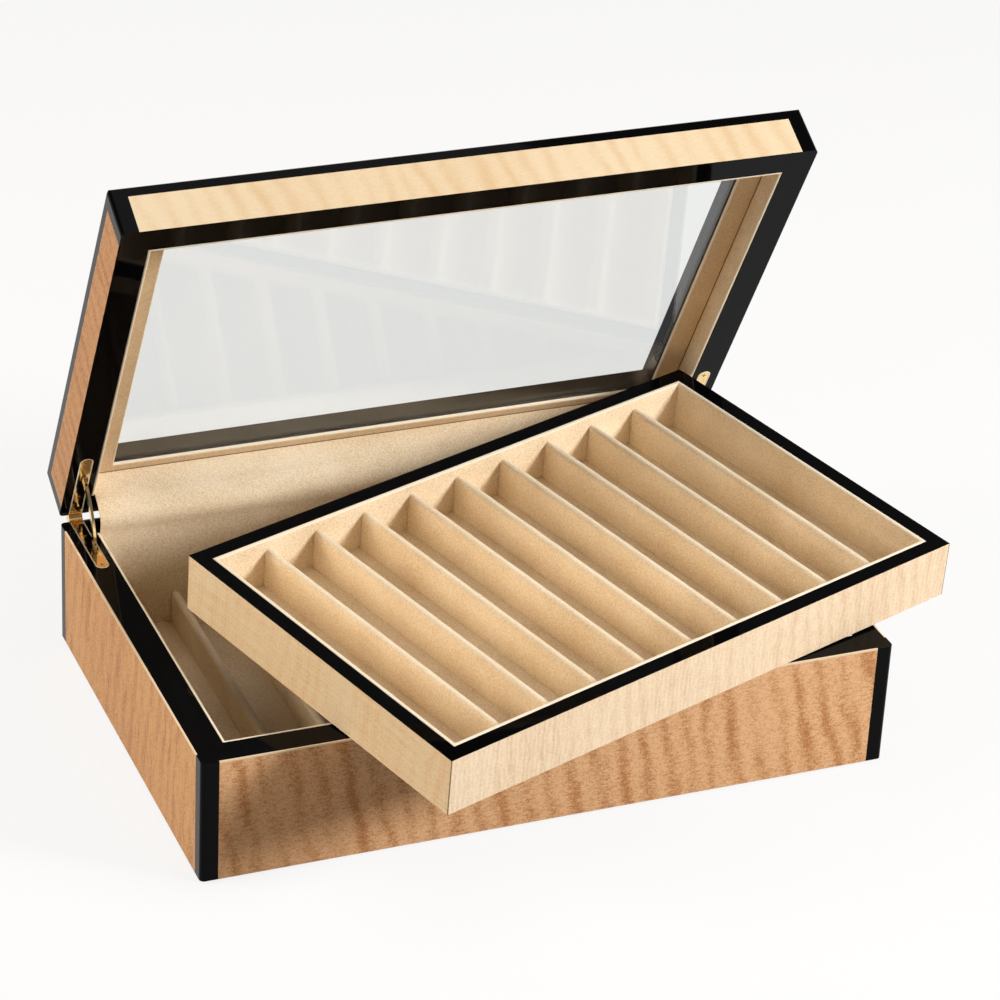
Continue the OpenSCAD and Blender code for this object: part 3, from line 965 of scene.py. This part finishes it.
@dataclass
class Base(SubAssembly):
    """The base: lacquered walls, veneers, suede inside and the hinge leaves let into its rim."""

    ledge_fold: float = 1.2 * MM
    ledge_play: float = 0.05 * MM
    ledge_uneven: float = 0.15 * MM
    # The pale edge colour of the sides and front is a painted highlight along the veneer's top edge.
    sides: Maple = Maple(
        pale=(0.80, 0.455, 0.185), deep=(0.42, 0.15, 0.038), curl=12.5 * MM, figure=0.4, grain=0.8,
        lean=0.22, pores=(3.0, 0.25), lacquered=(SIZE.base_height - 0.9 * MM, 1.0), edge=(0.90, 0.72, 0.52))
    front: Maple = replace(sides, pale=(0.93, 0.57, 0.31), deep=(0.53, 0.215, 0.075), figure=0.75,
                           pores=(0.8, 2.2))

    def build(self) -> None:
        """Dresses the solids and makes the soft pieces."""
        f = self.finishes
        dress(f.lacquer, "base_frame", "base_floor")
        dress(f.felt, "base_felt")
        dress(f.gold, "base_leaf_left", "base_leaf_right", "hinge_pin_left", "hinge_pin_right", "base_screws")
        self.veneer(self.front, self.sides, Side.FRONT)
        self.soft()

    def soft(self) -> None:
        """Lining, ledges, floor pad and dividers."""
        w, d = SIZE.open / 2
        section = wrapped_section(SIZE.floor_top, SIZE.base_height, SIZE.lining, self.fold, self.swell)
        walls = moulding([(-w, d), (-w, -d), (w, -d), (w, d)], section, False, self.uneven, seed=1.0)
        self.put("base_suede_walls", walls, "base_lining")
        floor = SIZE.floor_top + SIZE.pad
        ledge_top = SIZE.base_height - SIZE.tray_inset - SIZE.tray_height
        shape = wrapped_section(floor, ledge_top, SIZE.ledge, self.ledge_fold, both=False)
        for sign, name in ((-1, "left"), (1, "right")):
            wall, end = sign * SIZE.inner / 2 - np.array([0, sign * self.ledge_play])
            ledge = moulding([(wall, -end), (wall, end)], shape, False, self.ledge_uneven, seed=3.0 + sign)
            self.put(f"suede_ledge_{name}", ledge, f"tray_ledge_{name}")
        self.slots(SIZE.inner, SIZE.floor_top, SIZE.pad, SIZE.ledge, floor + SIZE.divider_height, 0.7)


@dataclass
class Flap:
    """One sheet of suede: up the base's rear wall, over the hinge line and down the lid's rear wall."""

    finishes: Finishes
    thick: float = 1.5 * MM
    slack: float = 0.5 * MM
    rise: float = 2.0 * MM
    fade: float = 10 * MM
    wave: float = 90 * MM
    edge: float = 0.5 * MM
    edge_reach: float = 1.2 * MM
    play: float = 0.1 * MM
    foot_gap: float = 0.3 * MM
    bend_gap: float = 1.5 * MM
    seam_gap: float = 0.25 * MM
    crest: float = 9 * MM
    climb_rows: int = 26
    fold_rows: int = 33
    band_rows: int = 9
    columns: int = 97

    @property
    def reach(self) -> float:
        """How far the linings of the rear walls lie from the hinge axis."""
        return SIZE.axis_back + SIZE.wall + SIZE.lining

    def profile(self) -> tuple[Array, Array]:
        """The visible line of the sheet and its normals, as (Y, Z) points.

        It climbs the rear wall, bulges over the gap as an arc whose distance from the hinge axis is
        reach + rise * sin(pi t)^0.85 * (1 + 0.3 sin(2 pi t)) at a share t of the opening, and runs on along
        the lid's rear wall to the seam. Three passes of smoothing round its corners.

        Returns:
            The points, and the unit normals, which point into the case.
        """
        axis, opening = SIZE.axis[1:], SIZE.open_angle
        climb = np.linspace(SIZE.floor_top + self.foot_gap, SIZE.base_height - self.bend_gap, self.climb_rows)
        lower = np.stack([np.full(self.climb_rows, axis[0] - self.reach), climb], axis=1)
        t = np.linspace(0, 1, self.fold_rows)
        bulge = np.sin(math.pi * t) ** 0.85 * (1 + 0.3 * np.sin(math.tau * t))
        ray = np.stack([-np.cos(t * opening), np.sin(t * opening)], axis=1)
        fold = axis + ray * (self.reach + self.rise * bulge)[:, None]
        band = np.linspace(self.bend_gap, SIZE.seam - self.seam_gap, self.band_rows) + SIZE.rim_gap / 2
        ahead = np.array([math.sin(opening), math.cos(opening)])
        upper = axis + ray[-1] * self.reach + ahead * band[:, None]
        line = np.concatenate([lower, fold, upper])
        for _ in range(3):
            line[1:-1] = line[1:-1] * 0.5 + (line[:-2] + line[2:]) * 0.25
        along = np.gradient(line, axis=0)
        along /= np.linalg.norm(along, axis=1)[:, None]
        return line, np.stack([-along[:, 1], along[:, 0]], axis=1)

    def build(self) -> None:
        """The sheet as a closed shell, from the base's wall to the lid's.

        It is slack by a ripple that fades away from the fold's crest as exp(-(distance / fade)^2), and its
        side edges are rounded by edge * (1 - e)^2, where e rises from 0 to 1 within edge_reach.
        """
        line, normal = self.profile()
        half = SIZE.inner[0] / 2 - self.play
        x = np.linspace(-half, half, self.columns)
        run = np.concatenate([[0], np.cumsum(np.linalg.norm(np.diff(line, axis=0), axis=1))])
        rows = len(line)
        face = np.zeros((rows, self.columns, 3))
        face[..., 0] = x
        face[..., 1:] = line[:, None]
        back = face.copy()
        back[..., 1:] -= (normal * self.thick)[:, None]
        free = np.exp(-(((run - (SIZE.base_height + self.crest - SIZE.floor_top)) / self.fade) ** 2))
        sway = ripple(face.reshape(-1, 3), self.wave, 4.0).reshape(rows, -1) * self.slack * free[:, None]
        e = np.clip((half - np.abs(x)) / self.edge_reach, 0, 1)
        face[..., 1:] += normal[:, None] * (sway - self.edge * (1 - e) ** 2)[..., None]
        back[..., 1:] += normal[:, None] * sway[..., None]
        surface = Surface(np.concatenate([face, back]).reshape(-1, 3), shell_faces(rows, self.columns))
        made = make_piece("suede_flap", surface, self.finishes.suede)
        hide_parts("flap_skirt", "flap_fold", "flap_band")
        2 * half
        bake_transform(made)


@dataclass
class Lid(SubAssembly):
    """The lid: lacquered frame with its glass, veneers, suede inside and the hinge leaves."""

    body: Body = Body.LID
    pose: Pose = lid_pose()
    log_step: float = 0.17
    swell: float = 0.1 * MM
    uneven: float = 0.1 * MM
    # Thickness of the dark thread that paints the seam's shadow line.
    shadow_thread: float = 0.3 * MM
    sides: Maple = Maple(
        pale=(0.66, 0.36, 0.15), deep=(0.38, 0.14, 0.042), curl=12 * MM, figure=0.5, grain=0.7,
        lean=0.14, pose=lid_pose(), lacquered=(-1.0, SIZE.rim_gap / 2 + 0.07 * MM))
    # Painted light: the front's pale, weakly figured colours stand for strong light on the open lid's
    # upturned front.
    front: Maple = replace(sides, pale=(0.86, 0.71, 0.50), deep=(0.74, 0.51, 0.28), grain=0.3)

    def build(self) -> None:
        """Dresses the solids and makes the soft pieces."""
        f = self.finishes
        dress(f.lacquer, "lid_frame")
        dress(f.glass, "lid_glass")
        dress(f.gold, "lid_leaf_left", "lid_leaf_right", "lid_screws", "quadrant_left", "quadrant_right")
        self.veneer(self.front, self.sides, Side.FRONT)
        self.soft()

    def soft(self) -> None:
        """Lining, glass frame and a dark thread that paints the seam's shadow line, in a frame on the hinge
        axis.
        """
        low = SIZE.rim_gap / 2 + SIZE.seam
        w, half = SIZE.open / 2
        front, rear = -half - SIZE.axis[1], half - SIZE.axis[1]
        path = [(-w, rear), (-w, front), (w, front), (w, rear)]
        strip = wrapped_section(0.12 * MM, SIZE.seam, SIZE.lining, self.fold, self.swell)
        strip[:, 1] = low - strip[:, 1]
        walls = moulding(path, strip[::-1], False, self.uneven, seed=5.0)
        self.put("lid_suede_walls", walls, "lid_lining")
        holder = self.put("suede_glass_frame", self.glass_frame(low), "glass_retainer")
        # The glass frame gets the darker suede, painted shade.
        holder.data.materials[0] = self.finishes.deep_suede
        # A dark thread along the seam paints its shadow line.
        inward = SIZE.lining + self.shadow_thread / 2 + self.shadow_thread * np.cos(ROUND)
        section = np.column_stack([inward, low + self.shadow_thread * np.sin(ROUND), ROUND * 0])
        line = moulding(path, section, True).placed(self.pose)
        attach(make_piece("lid_seam_thread", line, self.finishes.shadow_thread), self.body.value)

    def glass_frame(self, low: float) -> Surface:
        """The flat frame that holds the glass, wrapped in suede.

        Each of its rings is a rectangle at a share of the way from the wall to the clear glass, drawn back
        by a distance. Its lower face swells by half a sine wave, and its inner edge is a quarter circle.

        Args:
            low: height of the lower face.
        Returns:
            A closed surface.
        """
        wall = SIZE.open / 2
        clear = (SIZE.outside - 2 * np.array(SIZE.glass_border)) / 2
        r, high = 0.9 * MM, low + SIZE.glass_frame - 0.02 * MM
        turn = np.linspace(0, math.pi / 2, 6)
        share = np.linspace(0, 1, 9)[:-1]
        swell = low + 0.12 * MM - self.swell * np.sin(math.pi * share)
        round_edge = low + 0.02 * MM + r - r * np.cos(turn)
        # The fourth column of the rings makes the nap pale along the inner edge: rubbed nap and a painted
        # highlight.
        rings = np.concatenate([
            np.column_stack([share, share * 0, swell, share * 0]),
            np.column_stack([turn * 0 + 1, r - r * np.sin(turn), round_edge, np.sin(turn)]),
            [[1.0, 0.0, high - 0.2 * MM, 1.0], [1.0, 0.2 * MM, high, 0.5], [0.0, 0.0, high, 0.0]]])
        along = np.linspace(-1, 1, 41)[:-1]
        edge = np.ones(len(along))
        square = np.concatenate([np.stack(pair, 1) for pair in (
            (along, -edge), (edge, along), (-along, edge), (-edge, -along))])
        plan = square * (wall + (clear - wall) * rings[:, :1] + rings[:, 1:2])[:, None]
        plan[..., 1] -= SIZE.axis[1]
        faces = tube_faces(len(rings), len(square), closed=True)
        return Surface(raised(plan, rings[:, 2:3]), faces, np.repeat(rings[:, 3], len(square)))


@dataclass
class LeafEdges:
    """The rounded, polished edge of each hinge leaf, as a fine bead round its outline, in a paler gold that
    is a painted highlight.
    """

    finishes: Finishes
    middle: float = 169.5 * MM
    width: float = 7 * MM
    length: float = 50 * MM
    bead: float = 0.34 * MM
    cuts: int = 14

    def bead_line(self, side: int, up: int) -> Surface:
        """A bead along a leaf's outline, in a frame on the hinge axis.

        The outline is a U: straight along one edge, half round at the front end, and back along the other.
        The bead's section is an oval, set across the outline's direction.

        Args:
            side: -1 for the left hinge, 1 for the right.
            up: -1 for the base's leaf, whose face looks up, 1 for the lid's.
        Returns:
            A closed tube.
        """
        r = self.width / 2 - self.bead
        turn = np.linspace(0, math.pi, 19)
        bend = -SIZE.axis_back - self.length + self.width / 2
        straight = np.linspace(-SIZE.axis_back - 2 * MM, bend, self.cuts + 1)[:-1]
        flank = np.tile([1.0, 0.0], (self.cuts, 1))
        out = np.concatenate([flank, np.stack([np.cos(turn), -np.sin(turn)], 1), -flank])
        middle = np.concatenate([straight, turn * 0 + bend, straight[::-1]])
        line = out * r + np.stack([out[:, 0] * 0 + side * self.middle, middle], 1)
        plan = line[:, None] + out[:, None] * (self.bead * np.cos(ROUND))[:, None]
        rise = up * SIZE.rim_gap / 2 + self.bead * 0.45 * np.sin(ROUND)
        return Surface(raised(plan, rise), tube_faces(len(line), len(ROUND)))

    def build(self) -> None:
        """Two beads for each hinge."""
        closed = Pose(tuple(SIZE.axis))
        for side, name in ((-1, "left"), (1, "right")):
            for up, body, pose in ((-1, Body.BASE, closed), (1, Body.LID, lid_pose())):
                made = make_piece(f"{body.value}_leaf_edge_{name}", self.bead_line(side, up).placed(pose),
                                  self.finishes.bright)
                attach(made, body.value)


@dataclass
class Tray(SubAssembly):
    """The loose tray: lacquered rim, mitred veneers, lining, padded floor and dividers."""

    body: Body = Body.TRAY
    pose: Pose = tray_pose()
    log_step: float = 0.23
    fold: float = 1.0 * MM
    swell: float = 0.1 * MM
    uneven: float = 0.14 * MM
    long_sides: Maple = Maple(
        pale=(0.98, 0.81, 0.60), deep=(0.72, 0.47, 0.27), curl=9 * MM, figure=0.3, grain=0.5,
        lean=0.15, fine=0.2, pores=(2.6, 0.4), pose=tray_pose(), seam=SIZE.inner[0] / 2 - SIZE.tray_play,
        lacquered=(SIZE.tray_height - 0.07 * MM, 1.0))
    ends: Maple = replace(long_sides, pale=(1.0, 0.84, 0.60), deep=(0.89, 0.58, 0.31), grain=0.75,
                          pores=(0.08, 2.4), seam=SIZE.inner[1] / 2 - SIZE.tray_play)

    def build(self) -> None:
        """Dresses the solids and makes the soft pieces."""
        f = self.finishes
        dress(f.lacquer, "tray_frame", "tray_floor")
        dress(f.felt, "tray_felt")
        self.veneer(self.long_sides, self.ends, Side.FRONT, Side.REAR)
        self.soft()

    def soft(self) -> None:
        """Lining, floor pad and dividers, in the tray's own frame."""
        w, d = SIZE.tray_open / 2
        section = wrapped_section(SIZE.tray_panel, SIZE.tray_height, SIZE.tray_lining, self.fold, self.swell)
        walls = moulding([(-w, -d), (w, -d), (w, d), (-w, d)], section, True, self.uneven, seed=7.0)
        self.put("tray_suede_walls", walls, "tray_lining")
        plan, top = SIZE.tray_open - 2 * SIZE.tray_lining, SIZE.tray_height - SIZE.tray_drop
        self.slots(plan, SIZE.tray_panel, SIZE.tray_pad, 0.0, top, 1.3)


# ---- studio ----


@dataclass(frozen=True)
class Softbox:
    """A square area lamp, aimed at a point."""

    name: str
    at: Triple
    size: float
    power: float
    tint: Triple = (1.0, 1.0, 1.0)
    aim: Triple = (0.0, 0.0, 0.1)

    def build(self) -> None:
        """The lamp, whose -Z axis points from its place to its aim."""
        lamp = bpy.data.lights.new(self.name, "AREA")
        lamp.size, lamp.energy, lamp.color = self.size, self.power, self.tint
        made = add_object(self.name, lamp)
        made.rotation_euler = (Vector(self.at) - Vector(self.aim)).to_track_quat("Z", "Y").to_euler()
        made.location = self.at


@dataclass(frozen=True)
class Studio:
    """Camera, lamps, pale floor and white surroundings."""

    camera_at: Triple = (-0.6395, -1.5324, 1.0335)
    camera_turn: tuple[Triple, ...] = (
        (0.92867, -0.36794, 0.04685), (0.14038, 0.46556, 0.87381), (-0.34332, -0.8049, 0.484))
    focal: float = 138.25
    floor_reach: float = 5.0
    plain_white: float = 0.84
    lamps: tuple[Softbox, ...] = (
        Softbox("key_lamp", (1.58, -1.24, 1.15), 0.55, 52.0, (1.0, 0.985, 0.96)),
        Softbox("top_lamp", (-0.1, 0.1, 1.85), 1.3, 6.0),
        Softbox("left_lamp", (-1.75, 0.25, 0.9), 0.8, 22.5, (1.0, 0.87, 0.70)),
    )

    def build(self) -> None:
        """Everything round the case."""
        self.camera()
        self.floor()
        self.world()
        for lamp in self.lamps:
            lamp.build()
        bpy.context.scene.view_settings.view_transform = "Standard"

    def camera(self) -> None:
        """The camera. Its turn holds right, up and backwards, which are made square to each other."""
        data = bpy.data.cameras.new("camera")
        data.sensor_width, data.lens = 36.0, self.focal
        data.clip_start, data.clip_end = 0.05, 30.0
        made = add_object("camera", data)
        turn, _, keep = np.linalg.svd(np.array(self.camera_turn).T)
        made.matrix_world = Matrix.Translation(self.camera_at) @ Matrix((turn @ keep).tolist()).to_4x4()
        bpy.context.scene.camera = made

    def floor(self) -> None:
        """A pale floor that keeps the shadow. Where it is seen or mirrored, most of it is plain white."""
        p = Palette("pale_floor")
        shown = p.rays("Camera", "Glossy", "Transmission")
        lit = p.add("BsdfDiffuse", Color=p.mix(shown, (0.36, 0.36, 0.36), (0.9, 0.9, 0.9)))
        blend = p.add("MixShader", Fac=shown * self.plain_white, Shader=lit, Shader_001=p.add("Emission"))
        p.add("OutputMaterial", Surface=blend)
        corners = np.array([(-1, -1, 0), (1, -1, 0), (1, 1, 0), (-1, 1, 0)]) * self.floor_reach
        mesh = bpy.data.meshes.new("floor")
        mesh.from_pydata(corners.tolist(), [], [(0, 1, 2, 3)])
        mesh.materials.append(p.owner)
        made = add_object("floor", mesh)
        made.location.z = -0.2 * MM

    def world(self) -> None:
        """White where the camera sees it, darker overhead in reflections, and faint and warm as light."""
        world = bpy.data.worlds.new("surroundings")
        bpy.context.scene.world = world
        p = Palette(world.name, world)
        ceiling = p.split(p.place())[2].step(0.12, 0.42)
        mirrored = p.rays("Glossy", "Transmission") * (1.0 - ceiling * 0.9)
        strength = p.rays("Camera").most(mirrored).most(0.15)
        tint = p.mix(p.rays("Camera", "Glossy", "Transmission"), (1.0, 0.86, 0.70), (1.0, 1.0, 1.0))
        p.add("OutputWorld", Surface=p.add("Background", Strength=strength, Color=tint))


def main() -> None:
    """Builds the case, then the studio."""
    logging.basicConfig(level=logging.INFO, format="%(message)s")
    finishes = Finishes()
    for part in (Base(finishes), Flap(finishes), Lid(finishes), LeafEdges(finishes), Tray(finishes)):
        log.info("building %s", type(part).__name__)
        part.build()
    Studio().build()
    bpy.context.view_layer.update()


if __name__ == "__main__":
    main()
